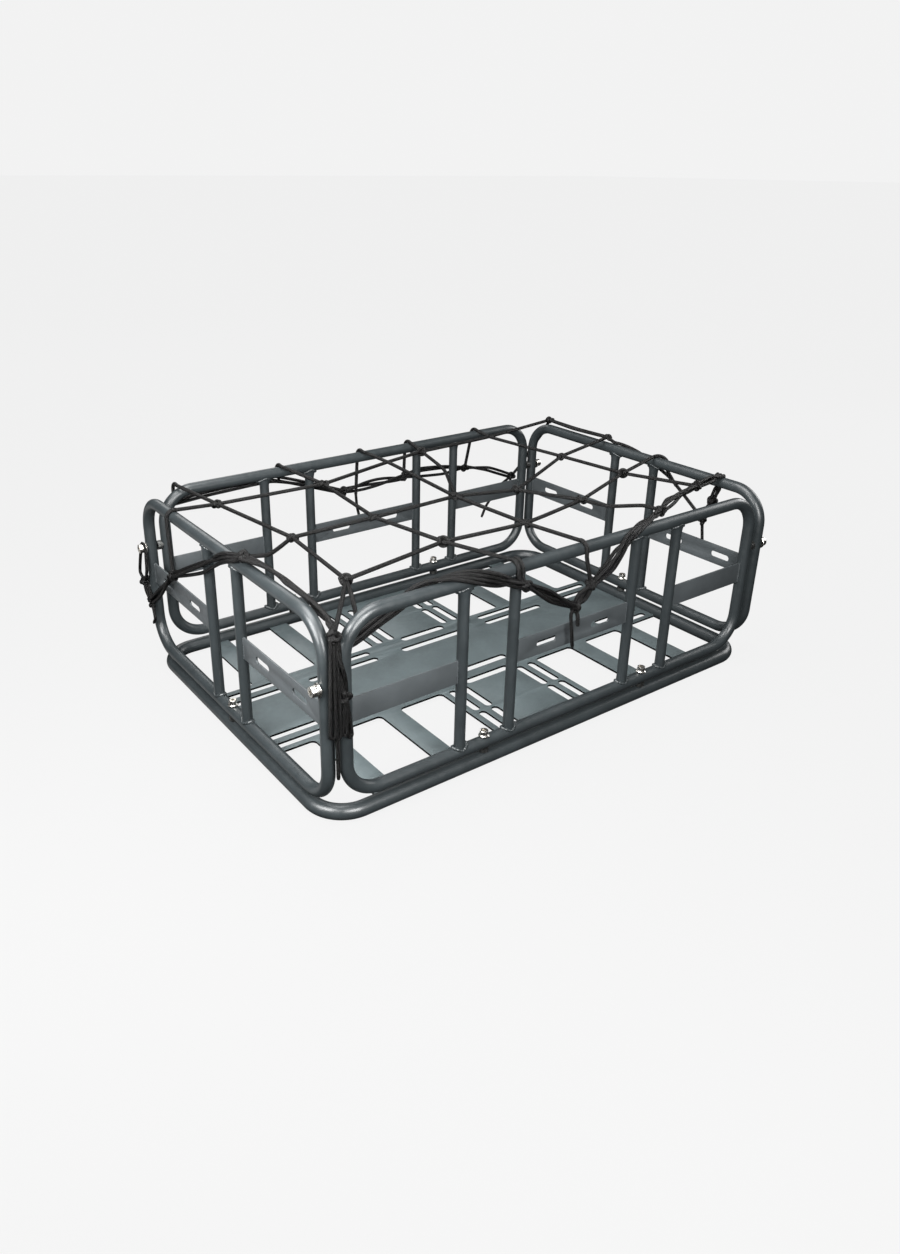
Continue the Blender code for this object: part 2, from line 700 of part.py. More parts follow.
def build_net():
    knots = {**MIDDLE_KNOTS, **BORDER_KNOTS, "foot": HITCH_FOOT}
    build_cords("net_middle", MIDDLE_STRANDS, knots, MIDDLE_KNOTS.values())
    build_cords("net_border", BORDER_STRANDS, knots, BORDER_KNOTS.values())
    build_cords("net_corner_tie", TIE_STRANDS, knots, [TIE_KNOT])
    build_cords("net_hitch_loop", hitch_strands(), knots, [HITCH_KNOT, HITCH_FOOT])


build_base_ring()
build_base_plate()
build_long_panel("front", -1)
build_long_panel("rear", 1)
build_short_panel("left", -1)
build_short_panel("right", 1)
build_corner_fasteners()
build_base_fasteners()
build_net()
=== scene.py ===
"""The looks of a bolted cargo basket for a carrier bicycle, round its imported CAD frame.

Metres, +Z up, X along the basket's long sides, the ground at Z = 0. The tubes, bars, plate and screws
are finer copies of the CAD nodes that they stand for, with their welds and rounded edges. The net is
made cord by cord: single strands, rim bundles of two to four cords, tied knots and free tails.
"""

import math
import random

import bmesh
import bpy
from mathutils import Matrix, Vector, noise


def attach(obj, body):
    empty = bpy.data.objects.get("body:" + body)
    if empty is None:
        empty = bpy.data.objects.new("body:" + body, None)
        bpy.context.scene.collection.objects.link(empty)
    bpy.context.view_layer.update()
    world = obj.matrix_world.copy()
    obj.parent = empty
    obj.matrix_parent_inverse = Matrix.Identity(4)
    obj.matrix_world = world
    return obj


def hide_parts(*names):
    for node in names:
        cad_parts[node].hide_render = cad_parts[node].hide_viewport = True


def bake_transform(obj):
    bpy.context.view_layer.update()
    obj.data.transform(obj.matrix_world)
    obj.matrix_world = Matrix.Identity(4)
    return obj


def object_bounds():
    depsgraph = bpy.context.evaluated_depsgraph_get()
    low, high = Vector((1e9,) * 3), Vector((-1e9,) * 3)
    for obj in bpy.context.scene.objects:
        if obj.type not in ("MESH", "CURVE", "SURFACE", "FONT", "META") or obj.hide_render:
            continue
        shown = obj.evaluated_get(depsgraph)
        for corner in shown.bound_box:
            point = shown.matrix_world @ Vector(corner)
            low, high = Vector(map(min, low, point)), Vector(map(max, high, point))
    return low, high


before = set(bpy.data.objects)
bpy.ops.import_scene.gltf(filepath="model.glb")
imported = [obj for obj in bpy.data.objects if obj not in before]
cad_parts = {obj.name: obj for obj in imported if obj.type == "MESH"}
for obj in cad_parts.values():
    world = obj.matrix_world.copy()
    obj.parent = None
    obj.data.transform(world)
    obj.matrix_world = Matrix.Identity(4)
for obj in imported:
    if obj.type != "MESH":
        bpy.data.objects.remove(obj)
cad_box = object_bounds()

MM = 0.001

# Tubes: their radii, and the outlines of their centre lines.
BASE_R = 7.7 * MM
BASE_HALF = (287.0 * MM, 192.0 * MM)
BASE_CORNER = 35.0 * MM
RAIL_R = 6.35 * MM
PANEL_LOW = 26.0 * MM
PANEL_HIGH = 203.8 * MM
PANEL_CORNER = 36.0 * MM
LONG_HALF = 269.2 * MM
LONG_Y = BASE_HALF[1]
SHORT_HALF = 192.0 * MM
SHORT_X = 287.5 * MM
UPRIGHT_R = 5.5 * MM
LONG_UPRIGHTS = [place * MM for place in (-142.5, -81.0, 81.0, 142.5)]
SHORT_UPRIGHTS = [place * MM for place in (-32.5, 32.5)]

# Flat parts.
STRIP_THICK = 2.0 * MM
STRIP_HIGH = 24.0 * MM
STRIP_Z = 115.0 * MM
STRIP_SLOT = (26.0 * MM, 7.0 * MM)
PLATE_TOP = 6.2 * MM
PLATE_THICK = 2.5 * MM
EDGE_ROUND = 0.25 * MM
WELD_INTO = 1.0 * MM
LONG_SLOT_SPOTS = (-37.0 * MM, 37.0 * MM)
SHORT_SLOT_SPOTS = (77.0 * MM, 147.5 * MM)

# Screws: (radius, height) of the head and its flange, and the radius of the hexagon recess.
CORNER_SCREW_Z = 145.0 * MM
CORNER_HEAD = (5.0 * MM, 8.0 * MM)
CORNER_FLANGE = (6.5 * MM, 1.5 * MM)
CORNER_KEY = 2.9 * MM
BASE_SCREW_X = 112.0 * MM
BASE_HEAD = (4.25 * MM, 6.5 * MM)
BASE_FLANGE = (5.5 * MM, 1.5 * MM)
BASE_KEY = 2.4 * MM
GAP = 0.3 * MM

# Net: the cords' radii, how thin a cut end gets, the knots' sizes, and how finely a cord is drawn.
CORD_R = 2.1 * MM
BUNDLE_CORD_R = 1.95 * MM
LOOP_CORD_R = 0.92 * BUNDLE_CORD_R
TAIL_R = 1.85 * MM
CUT_END = 0.72
KNOT_CORD_R = 2.0 * MM
KNOT_SCALE = 1.7 * MM
RING_RADIUS = 4.4 * MM
RING_AXIS = Vector((-0.5, -0.65, 0.55))
CORD_STEP = 3.5 * MM
CORD_SIDES = 12

# Where a cord counts as lying on a rail, the gap it keeps to the tube, and the arc of a wrap round it.
NEAR_RAIL = 1.6 * RAIL_R
RAIL_TOUCH = 0.15 * MM
WRAP_STEPS = 6
WRAP_START = 115
WRAP_END = 10

# The braid: yarns that run round the cord each way, and their climb in radians for each metre.
BRAID_YARNS = 8.0
BRAID_CLIMB = 2900.0

# How far a bundle's cords sit from its middle, in their own radii, for each number of cords.
BUNDLE_SPREAD = {1: 0.0, 2: 1.08, 3: 1.3, 4: 1.55}

# Powder coats: the colour and roughness of the tubes, the flat bars and the plate, the near-black
# painted shade on the plate's cut edges and slot walls, and how far the mottling goes to either side of
# a colour. The flat bars' and the plate's colours are the tubes' one coat made lighter: painted light
# for the light that their flat faces catch.
TUBE_COAT = ((0.0195, 0.0236, 0.0252), 0.37)
STRIP_LIT_COAT = ((0.047, 0.053, 0.056), 0.42)
PLATE_LIT_COAT = ((0.052, 0.066, 0.069), 0.48)
# The near-black painted shade for the plate's cut edges and slot walls.
EDGE_PAINTED_SHADE = (0.002, 0.002, 0.002, 1.0)
MOTTLE = 0.14

# The pale studio: how bright the camera sees it behind the basket, and the floor's paint, own glow and
# half width in metres.
BACKDROP = 0.89
FLOOR_PAINT = 0.012
FLOOR_GLOW = 0.865
FLOOR_HALF = 40.0

# The room that lights the basket: (place on the way from straight down to straight up, brightness),
# and a patch of reflected light, its direction, the cosine at its rim and its brightness at the middle.
ROOM_STRENGTH = 0.13
ROOM_STOPS = [(0.0, 0.16), (0.42, 0.10), (0.48, 0.02), (0.57, 0.02), (0.72, 0.25), (1.0, 1.2)]
BOUNCE_FROM = Vector((-0.34, 0.79, -0.43)).normalized()
BOUNCE_RIM = 0.93
BOUNCE_BRIGHT = 5.0

# Lamps: name, size, place, the point that it faces, and power in watts.
LAMPS = [
    ("overhead_box", (0.8, 0.8), (-0.35, 0.0, 1.15), (-0.1, 0, 0), 25.0),
    ("back_box", (1.2, 1.0), (0.45, 2.1, 1.4), (0, 0, 0.1), 11.0),
    ("front_box", (0.4, 0.4), (-0.3, -0.8, 0.5), (-0.1, 0, 0.1), 14.0),
    ("left_box", (0.3, 0.3), (-0.65, -0.2, 0.4), (-0.2, 0, 0.1), 8.0),
    ("right_box", (0.8, 0.8), (1.6, -0.2, 0.8), (0, 0, 0.1), 13.0),
]

# How finely round shapes are drawn.
TUBE_SIDES = 32
CORNER_STEPS = 18
SLOT_STEPS = 10


# --- camera ---------------------------------------------------------------------------------------


def build_camera():
    data = bpy.data.cameras.new("camera")
    data.sensor_fit = "HORIZONTAL"
    data.sensor_width = 36.0
    data.lens = 37.724
    data.shift_x = 0.03776
    data.shift_y = -0.03916
    camera = bpy.data.objects.new("camera", data)
    camera.location = (-0.62568, -0.78612, 0.54176)
    camera.rotation_euler = [math.radians(angle) for angle in (65.577, -0.491, -35.677)]
    bpy.context.scene.collection.objects.link(camera)
    bpy.context.scene.camera = camera


# --- materials ------------------------------------------------------------------------------------


class Nodes:
    """A material's or a world's nodes, and short ways to add to them."""

    def __init__(self, owner):
        owner.use_nodes = True
        self.owner = owner
        self.tree = owner.node_tree

    def put(self, value, socket):
        """Sets the socket to a value, or links it when the value is another node's socket."""
        if isinstance(value, bpy.types.NodeSocket):
            self.tree.links.new(value, socket)
        else:
            socket.default_value = value

    def add(self, kind, inputs=None, **settings):
        node = self.tree.nodes.new(f"ShaderNode{kind}")
        for key, value in settings.items():
            setattr(node, key, value)
        for key, value in (inputs or {}).items():
            self.put(value, node.inputs[key])
        return node.outputs

    def math(self, operation, *values):
        return self.add("Math", dict(enumerate(values)), operation=operation)[0]

    def noise(self, scale, detail=2.0):
        where = self.add("TexCoord")["Object"]
        return self.add("TexNoise", {"Vector": where, "Scale": scale, "Detail": detail})["Fac"]

    def stops(self, factor, stops):
        """A colour that follows factor through the stops, which are pairs of a number and a colour."""
        node = self.tree.nodes.new("ShaderNodeValToRGB")
        elements = node.color_ramp.elements
        while len(elements) < len(stops):
            elements.new(0.5)
        for element, (position, colour) in zip(elements, stops):
            element.position = position
            element.color = (*colour, 1.0)
        self.put(factor, node.inputs[0])
        return node.outputs[0]

    def ramp(self, factor, low, high, start=0.0, end=1.0):
        """A colour that goes from low to high as factor goes from start to end."""
        return self.stops(factor, [(start, low), (end, high)])

    def span(self, factor, low, high, start=0.0, end=1.0):
        """A number that goes from low to high as factor goes from start to end."""
        inputs = {"Value": factor, "From Min": start, "From Max": end, "To Min": low, "To Max": high}
        return self.add("MapRange", inputs)["Result"]

    def bump(self, height, distance, strength=1.0, below=None):
        inputs = {"Height": height, "Distance": distance, "Strength": strength}
        if below:
            inputs["Normal"] = below
        return self.add("Bump", inputs)["Normal"]

    def feed(self, node="Principled BSDF", **sockets):
        """Sets or links a node's sockets; an underscore in a name stands for a space."""
        for key, value in sockets.items():
            self.put(value, self.tree.nodes[node].inputs[key.replace("_", " ")])
        return self.owner


def powder_coat(name, colour, roughness, painted_edge_shade=False):
    """Satin powder coat: a little orange peel, a fine grain, and slight mottling.

    With its last argument set, the sheet's cut edges and slot walls get painted shade: nearly black, with
    their specular taken away.
    """
    nodes = Nodes(bpy.data.materials.new(name))
    dark = [channel * (1 - MOTTLE) for channel in colour]
    light = [channel * (1 + MOTTLE) for channel in colour]
    peel = nodes.bump(nodes.noise(420.0, 1.0), 0.00012, 0.35)
    grain = nodes.bump(nodes.noise(2600.0), 0.00002, 0.5, below=peel)
    tint = nodes.ramp(nodes.noise(38.0, 4.0), dark, light, 0.3, 0.7)
    if painted_edge_shade:
        # Painted shade: faces that stand upright, the cut edges and slot walls, are mixed to near black
        # and lose their specular.
        upward = nodes.add("SeparateXYZ", {"Vector": nodes.add("NewGeometry")["Normal"]})["Z"]
        flat = nodes.span(nodes.math("ABSOLUTE", upward), 0.0, 1.0, 0.3, 0.6)
        tint = nodes.add("Mix", {6: EDGE_PAINTED_SHADE, 7: tint, "Factor": flat}, data_type="RGBA")[2]
        nodes.feed(Specular_IOR_Level=nodes.math("MULTIPLY", flat, 0.5))
    return nodes.feed(
        Base_Color=tint,
        Roughness=nodes.span(nodes.noise(160.0, 3.0), roughness - 0.06, roughness + 0.06, 0.3, 0.7),
        Normal=grain,
    )


def nickel():
    """Bright plated steel, faintly pitted."""
    nodes = Nodes(bpy.data.materials.new("bright_nickel"))
    tint = nodes.ramp(nodes.noise(500.0), (0.60, 0.58, 0.54), (0.80, 0.78, 0.74), 0.35, 0.65)
    return nodes.feed(
        Base_Color=tint,
        Metallic=1.0,
        Roughness=nodes.span(nodes.noise(900.0), 0.20, 0.34, 0.3, 0.7),
        Normal=nodes.bump(nodes.noise(3200.0), 0.00001, 0.5),
    )


def blackened_steel():
    """The sleeves' dark, slightly patchy steel."""
    nodes = Nodes(bpy.data.materials.new("blackened_steel"))
    tint = nodes.ramp(nodes.noise(300.0, 3.0), (0.045, 0.048, 0.048), (0.13, 0.13, 0.125), 0.3, 0.7)
    return nodes.feed(
        Base_Color=tint,
        Metallic=0.85,
        Roughness=nodes.span(nodes.noise(700.0), 0.30, 0.48, 0.3, 0.7),
        Normal=nodes.bump(nodes.noise(1800.0), 0.00002, 0.5),
    )


def braided_cord():
    """A black braided sleeve. The attribute `strand` holds the way along the cord and round it."""
    nodes = Nodes(bpy.data.materials.new("braided_cord"))
    strand = nodes.add("Attribute", attribute_name="strand")["Vector"]
    along, cosine, sine = nodes.add("SeparateXYZ", {"Vector": strand}).values()
    turn = nodes.math("MULTIPLY", nodes.math("ARCTAN2", sine, cosine), BRAID_YARNS)
    climb = nodes.math("MULTIPLY", along, BRAID_CLIMB)
    one_way = nodes.math("SINE", nodes.math("ADD", turn, climb))
    other_way = nodes.math("SINE", nodes.math("SUBTRACT", turn, climb))
    stitch = nodes.math("ABSOLUTE", nodes.math("MULTIPLY", one_way, other_way))
    plait = nodes.math("POWER", stitch, 0.5)
    fuzz = nodes.noise(2600.0, 3.0)
    # The cord's black, darkest where the braid's surface lies low: painted shade in the grooves between
    # the yarns.
    yarn_and_groove_shade = nodes.ramp(plait, (0.0006, 0.0006, 0.0006), (0.0050, 0.0048, 0.0048), 0.3, 1.0)
    worn = nodes.ramp(nodes.noise(70.0, 3.0), (0.70, 0.70, 0.72), (1.2, 1.17, 1.14), 0.3, 0.7)
    mix = {6: yarn_and_groove_shade, 7: worn, "Factor": 1.0}
    colour = nodes.add("Mix", mix, data_type="RGBA", blend_type="MULTIPLY")[2]
    weave = nodes.bump(plait, 0.0003, 0.9)
    return nodes.feed(
        Base_Color=colour,
        Roughness=nodes.span(fuzz, 0.28, 0.44, 0.3, 0.7),
        Normal=nodes.bump(fuzz, 0.00006, 0.4, below=weave),
        Specular_IOR_Level=0.22,
    )


def floor_paint():
    nodes = Nodes(bpy.data.materials.new("pale_floor"))
    pale = nodes.ramp(nodes.noise(3.0, 3.0), [FLOOR_PAINT * 0.99] * 3, [FLOOR_PAINT * 1.01] * 3)
    return nodes.feed(
        Base_Color=pale,
        Roughness=0.95,
        Specular_IOR_Level=0.0,
        Emission_Color=(1.0, 1.0, 1.0, 1.0),
        Emission_Strength=FLOOR_GLOW,
    )


# --- meshes ---------------------------------------------------------------------------------------


def add_piece(name, mesh, look, replaces=(), body="basket"):
    """A finished piece of the object. With no body it is left free."""
    piece = bpy.data.objects.new(name, mesh)
    bpy.context.scene.collection.objects.link(piece)
    mesh.materials.clear()
    mesh.materials.append(look)
    if body:
        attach(piece, body)
    if replaces:
        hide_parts(*replaces)
    return piece


def sections(line, closed):
    """(point, side, up) along a line: the axes of its cross-sections, turned as little as possible."""
    found = []
    count = len(line)
    side = None
    for i, point in enumerate(line):
        before = line[i - 1] if i or closed else point
        after = line[(i + 1) % count] if i + 1 < count or closed else point
        ahead = (after - before).normalized()
        if side is None:
            side = ahead.orthogonal().normalized()
            if abs(ahead.z) < 0.9:
                side = ahead.cross(Vector((0, 0, 1))).normalized()
        side = (side - ahead * side.dot(ahead)).normalized()
        found.append((point, side, ahead.cross(side)))
    return found


class Pile:
    """Tubes gathered into one mesh, with the way along and round each one in `strand`."""

    def __init__(self):
        self.points = []
        self.faces = []
        self.strand = []

    def tube(self, line, radius, sides, closed=False):
        """radius is one number, or one for each point of the line."""
        first = len(self.points)
        count = len(line)
        radii = radius if isinstance(radius, list) else [radius] * count
        along = 0.0
        for i, (point, side, up) in enumerate(sections(line, closed)):
            along += (point - line[i - 1]).length if i else 0.0
            for k in range(sides):
                angle = 2 * math.pi * k / sides
                cosine, sine = math.cos(angle), math.sin(angle)
                self.points.append(point + (side * cosine + up * sine) * radii[i])
                self.strand.append((along, cosine, sine))
        for i in range(count if closed else count - 1):
            here, there = first + i * sides, first + (i + 1) % count * sides
            for k in range(sides):
                n = (k + 1) % sides
                self.faces.append((here + k, here + n, there + n, there + k))
        if not closed:
            last = first + (count - 1) * sides
            self.faces.append(tuple(range(first + sides - 1, first - 1, -1)))
            self.faces.append(tuple(range(last, last + sides)))

    def mesh(self, name):
        mesh = bpy.data.meshes.new(name)
        mesh.from_pydata(self.points, [], self.faces)
        strand = mesh.attributes.new("strand", "FLOAT_VECTOR", "POINT")
        strand.data.foreach_set("vector", [value for row in self.strand for value in row])
        mesh.shade_smooth()
        mesh.set_sharp_from_angle(angle=math.radians(50))
        return mesh


def evaluated_mesh(obj):
    """The object's mesh with its modifiers applied. The object is removed."""
    bpy.context.view_layer.update()
    graph = bpy.context.evaluated_depsgraph_get()
    mesh = bpy.data.meshes.new_from_object(obj.evaluated_get(graph), depsgraph=graph)
    bpy.data.objects.remove(obj, do_unlink=True)
    return mesh


def helper(data):
    made = bpy.data.objects.new("helper", data)
    bpy.context.scene.collection.objects.link(made)
    return made


def rounded_outline(corners, steps):
    """Points of a closed outline. Each corner is (x, y, radius), and a radius makes an arc there."""
    points = []
    for i, (x, y, radius) in enumerate(corners):
        here = Vector((x, y))
        back = (Vector(corners[i - 1][:2]) - here).normalized()
        ahead = (Vector(corners[(i + 1) % len(corners)][:2]) - here).normalized()
        if radius == 0:
            points.append(here)
            continue
        half_angle = back.angle(ahead) / 2
        middle = here + (back + ahead).normalized() * (radius / math.sin(half_angle))
        start = here + back * (radius / math.tan(half_angle)) - middle
        sweep = start.angle_signed(here + ahead * (radius / math.tan(half_angle)) - middle)
        for k in range(steps + 1):
            points.append(middle + Matrix.Rotation(-sweep * k / steps, 2) @ start)
    return points


def rectangle(half_x, low_y, high_y, radius):
    corners = [(half_x, low_y), (half_x, high_y), (-half_x, high_y), (-half_x, low_y)]
    return rounded_outline([(x, y, radius) for x, y in corners], CORNER_STEPS)


def slot_outline(x, y, length, width, along_y=False):
    """A slot with round ends, its length along X or along Y."""
    points = []
    for end in (1, -1):
        for k in range(SLOT_STEPS + 1):
            angle = end * math.pi / 2 - math.pi / 2 + math.pi * (k / SLOT_STEPS - 0.5)
            u = end * (length - width) / 2 + math.cos(angle) * width / 2
            v = math.sin(angle) * width / 2
            points.append(Vector((x - v, y + u)) if along_y else Vector((x + u, y + v)))
    return points


def sheet_mesh(outline, holes, thickness):
    """A flat sheet of metal in XY with round edges, its holes cut through."""
    curve = bpy.data.curves.new("sheet", "CURVE")
    curve.dimensions = "2D"
    curve.fill_mode = "BOTH"
    curve.extrude = thickness / 2 - EDGE_ROUND
    curve.bevel_depth = EDGE_ROUND
    curve.bevel_resolution = 1
    curve.offset = -EDGE_ROUND
    for points in [outline] + holes:
        spline = curve.splines.new("POLY")
        spline.points.add(len(points) - 1)
        for target, point in zip(spline.points, points):
            target.co = (*point, 0.0, 1.0)
        spline.use_cyclic_u = True
    mesh = evaluated_mesh(helper(curve))
    work = bmesh.new()
    work.from_mesh(mesh)
    bmesh.ops.remove_doubles(work, verts=work.verts, dist=0.001 * MM)
    bmesh.ops.recalc_face_normals(work, faces=work.faces)
    work.to_mesh(mesh)
    work.free()
    mesh.shade_smooth()
    mesh.set_sharp_from_angle(angle=math.radians(40))
    return mesh


# --- base -----------------------------------------------------------------------------------------


def build_base_ring(look):
    outline = rectangle(BASE_HALF[0], -BASE_HALF[1], BASE_HALF[1], BASE_CORNER)
    pile = Pile()
    pile.tube([Vector((x, y, BASE_R)) for x, y in outline], BASE_R, TUBE_SIDES, closed=True)
    add_piece("floor_ring", pile.mesh("floor_ring"), look, ["base_ring"])


def plate_outline():
    """A quarter of the plate's edge, mirrored to the other three."""
    end_x = BASE_HALF[0] - BASE_R + WELD_INTO / 2
    end_y = BASE_HALF[1] - BASE_R + WELD_INTO / 2
    band = 68.0 * MM
    fillet = 5.5 * MM
    arms = ((207.5 * MM, 232.0 * MM), (126.5 * MM, 151.0 * MM))
    quarter = [(end_x, band, 0.0)]
    for inner, outer in arms:
        quarter += [(outer, band, fillet), (outer, end_y, 0.0)]
        quarter += [(inner, end_y, 0.0), (inner, band, fillet)]
    middle = 70.0 * MM
    quarter += [(middle, band, fillet), (middle, end_y, 0.0)]
    second = [(-x, y, r) for x, y, r in reversed(quarter)]
    upper = quarter + second
    lower = [(x, -y, r) for x, y, r in reversed(upper)]
    return rounded_outline(upper + lower, SLOT_STEPS)


def plate_slots():
    """(x, y, length, width, along_y) of the plate's slots: a mirrored quarter, and the middle ones."""
    row, centre, cross = 8.5 * MM, 10.0 * MM, 9.0 * MM
    quarter = [
        (114.5 * MM, 57.0 * MM, 61.0 * MM, row, False),
        (236.0 * MM, 57.0 * MM, 72.0 * MM, row, False),
        (129.5 * MM, 40.0 * MM, 93.0 * MM, row, False),
        (236.0 * MM, 40.0 * MM, 72.0 * MM, row, False),
    ]
    for x in (41.0 * MM, 58.0 * MM):
        for y in (94.5 * MM, 146.75 * MM):
            quarter.append((x, y, 48.25 * MM, cross, True))
    slots = [(sx * x, sy * y, *rest) for x, y, *rest in quarter for sx in (1, -1) for sy in (1, -1)]
    for sy in (1, -1):
        slots.append((0.0, sy * 63.5 * MM, 64.0 * MM, centre, False))
        slots.append((0.0, sy * 40.3 * MM, 94.0 * MM, centre, False))
    return slots


def build_base_plate(look):
    mesh = sheet_mesh(plate_outline(), [slot_outline(*slot) for slot in plate_slots()], PLATE_THICK)
    mesh.transform(Matrix.Translation((0, 0, PLATE_TOP - PLATE_THICK / 2)))
    add_piece("floor_plate", mesh, look, ["base_plate"])


# --- panels ---------------------------------------------------------------------------------------


def long_frame(sign):
    """Turns a panel drawn in XY, its height along Y, to stand along X at the front or the rear."""
    return Matrix.Translation((0, sign * LONG_Y, 0)) @ Matrix.Rotation(math.pi / 2, 4, "X")


def short_frame(sign):
    """The same for a panel that stands along Y, at the left or the right."""
    upright = Matrix.Rotation(math.pi / 2, 4, "Z") @ Matrix.Rotation(math.pi / 2, 4, "X")
    return Matrix.Translation((sign * SHORT_X, 0, 0)) @ upright


def placed(pile, name, place):
    mesh = pile.mesh(name)
    mesh.transform(place)
    return mesh


def build_ring(name, place, half, look):
    pile = Pile()
    outline = rectangle(half, PANEL_LOW, PANEL_HIGH, PANEL_CORNER)
    pile.tube([Vector((x, y, 0)) for x, y in outline], RAIL_R, TUBE_SIDES, closed=True)
    add_piece(f"{name}_frame_tube", placed(pile, name, place), look, [f"{name}_ring"])


def upright_mesh(x, place):
    """An upright that widens along the rails where it was coped and pressed to meet them."""
    work = bmesh.new()
    sides = TUBE_SIDES
    top, bottom = PANEL_HIGH - RAIL_R, PANEL_LOW + RAIL_R
    into_rail = RAIL_R * 0.45
    flare, flare_steps, flare_width, flattening = 9.0 * MM, 6, 2.9 * MM, 0.3 * MM
    foot_height, foot_width = 5.0 * MM, 0.5 * MM
    heights = [bottom - into_rail, bottom + 0.3 * foot_height, bottom + foot_height, STRIP_Z, top - flare]
    heights += [top - flare * (1 - k / flare_steps) for k in range(1, flare_steps + 1)]
    heights.append(top + into_rail)
    rings = []
    for height in heights:
        reach = min(1.0, max(0.0, (height - (top - flare)) / flare))
        foot = min(1.0, max(0.0, 1.0 - (height - bottom) / foot_height))
        wide = UPRIGHT_R + flare_width * reach**2 + foot_width * foot
        deep = UPRIGHT_R - flattening * reach
        ring = []
        for k in range(sides):
            angle = 2 * math.pi * k / sides
            ring.append(work.verts.new((x + wide * math.cos(angle), height, -deep * math.sin(angle))))
        rings.append(ring)
    for low, high in zip(rings, rings[1:]):
        for k in range(sides):
            work.faces.new((low[k], low[(k + 1) % sides], high[(k + 1) % sides], high[k]))
    work.faces.new(reversed(rings[0]))
    work.faces.new(rings[-1])
    mesh = bpy.data.meshes.new("upright")
    work.to_mesh(mesh)
    work.free()
    mesh.transform(place)
    mesh.shade_smooth()
    mesh.set_sharp_from_angle(angle=math.radians(50))
    return mesh


def weld_bead(pile, x, rail, up, seed):
    """A rippled bead round an upright's foot or head, where it meets a rail at height `rail`.

    It is thickest, and stands out furthest, on the two sides that lie along the rail.
    """
    line = []
    radii = []
    steps, ripples = 72, 15
    for k in range(steps):
        angle = 2 * math.pi * k / steps
        lengthways = abs(math.cos(angle))
        spread = UPRIGHT_R + (0.5 + 1.9 * lengthways**3) * MM
        depth = UPRIGHT_R * math.sin(angle) * 0.98
        lift = math.sqrt(max(0.0, RAIL_R**2 - depth**2))
        rise = (0.2 + 0.3 * lengthways) * MM
        line.append(Vector((x + spread * math.cos(angle), rail + up * (lift + rise), -depth)))
        lump = noise.noise(Vector((math.cos(angle) * 1.5, math.sin(angle) * 1.5, seed * 3.7)))
        ripple = 0.17 * math.sin(ripples * angle + seed)
        radii.append((1.25 + 0.75 * lengthways**2 + 0.35 * lump + ripple) * MM)
    pile.tube(line, radii, 12, closed=True)


def build_uprights(name, place, spots, look):
    beads = Pile()
    for i, x in enumerate(spots):
        mesh = upright_mesh(x, place)
        add_piece(f"{name}_bar_{i + 1}", mesh, look, [f"{name}_upright_{i + 1}"])
        weld_bead(beads, x, PANEL_LOW, 1, i + len(name))
        weld_bead(beads, x, PANEL_HIGH, -1, i + 7 + len(name))
    add_piece(f"{name}_bar_welds", placed(beads, f"{name}_welds", place), look)


def strip_tacks(pile, x, side):
    """The short, uneven weld beads that join a strip's end to a tube, on both of its faces."""
    steps = 24
    for face in (-1, 1):
        line = []
        radii = []
        for k in range(steps + 1):
            height = STRIP_Z + (k / steps - 0.5) * STRIP_HIGH * 0.96
            line.append(Vector((x + side * 0.4 * MM, height, face * (STRIP_THICK / 2 + 0.1 * MM))))
            radii.append((0.75 + 0.14 * math.sin(k * 1.9) + 0.1 * math.cos(k * 0.7 + face)) * MM)
        radii[0] = radii[-1] = 0.3 * MM
        pile.tube(line, radii, 8)


def build_strip(name, place, start, end, slots, look, node):
    low, high = STRIP_Z - STRIP_HIGH / 2, STRIP_Z + STRIP_HIGH / 2
    ends = start - WELD_INTO, end + WELD_INTO
    outline = [Vector(p) for p in ((ends[0], low), (ends[1], low), (ends[1], high), (ends[0], high))]
    holes = [slot_outline(slot, STRIP_Z, *STRIP_SLOT) for slot in slots]
    mesh = sheet_mesh(outline, holes, STRIP_THICK)
    mesh.transform(place)
    add_piece(name, mesh, look, [node])


def build_long_panel(name, sign, coat, strip_lit_coat):
    place = long_frame(sign)
    build_ring(name, place, LONG_HALF, coat)
    build_uprights(name, place, LONG_UPRIGHTS, coat)
    leg = LONG_HALF - RAIL_R
    outer, inner = LONG_UPRIGHTS[3] + UPRIGHT_R, LONG_UPRIGHTS[2] - UPRIGHT_R
    spans = [(-leg, -outer, ()), (-inner, inner, LONG_SLOT_SPOTS), (outer, leg, ())]
    build_strips(name, place, spans, strip_lit_coat)


def build_short_panel(name, sign, coat, strip_lit_coat):
    place = short_frame(sign)
    build_ring(name, place, SHORT_HALF, coat)
    build_uprights(name, place, SHORT_UPRIGHTS, coat)
    leg = SHORT_HALF - RAIL_R
    inner = SHORT_UPRIGHTS[1] + UPRIGHT_R
    spans = [(-leg, -inner, [-y for y in SHORT_SLOT_SPOTS]), (inner, leg, SHORT_SLOT_SPOTS)]
    build_strips(name, place, spans, strip_lit_coat)


def build_strips(name, place, spans, look):
    tacks = Pile()
    for i, (start, end, slots) in enumerate(spans):
        build_strip(f"{name}_flat_bar_{i + 1}", place, start, end, slots, look, f"{name}_strip_{i + 1}")
        strip_tacks(tacks, start, 1)
        strip_tacks(tacks, end, -1)
    add_piece(f"{name}_flat_bar_welds", placed(tacks, f"{name}_tacks", place), look)


# --- fasteners ------------------------------------------------------------------------------------


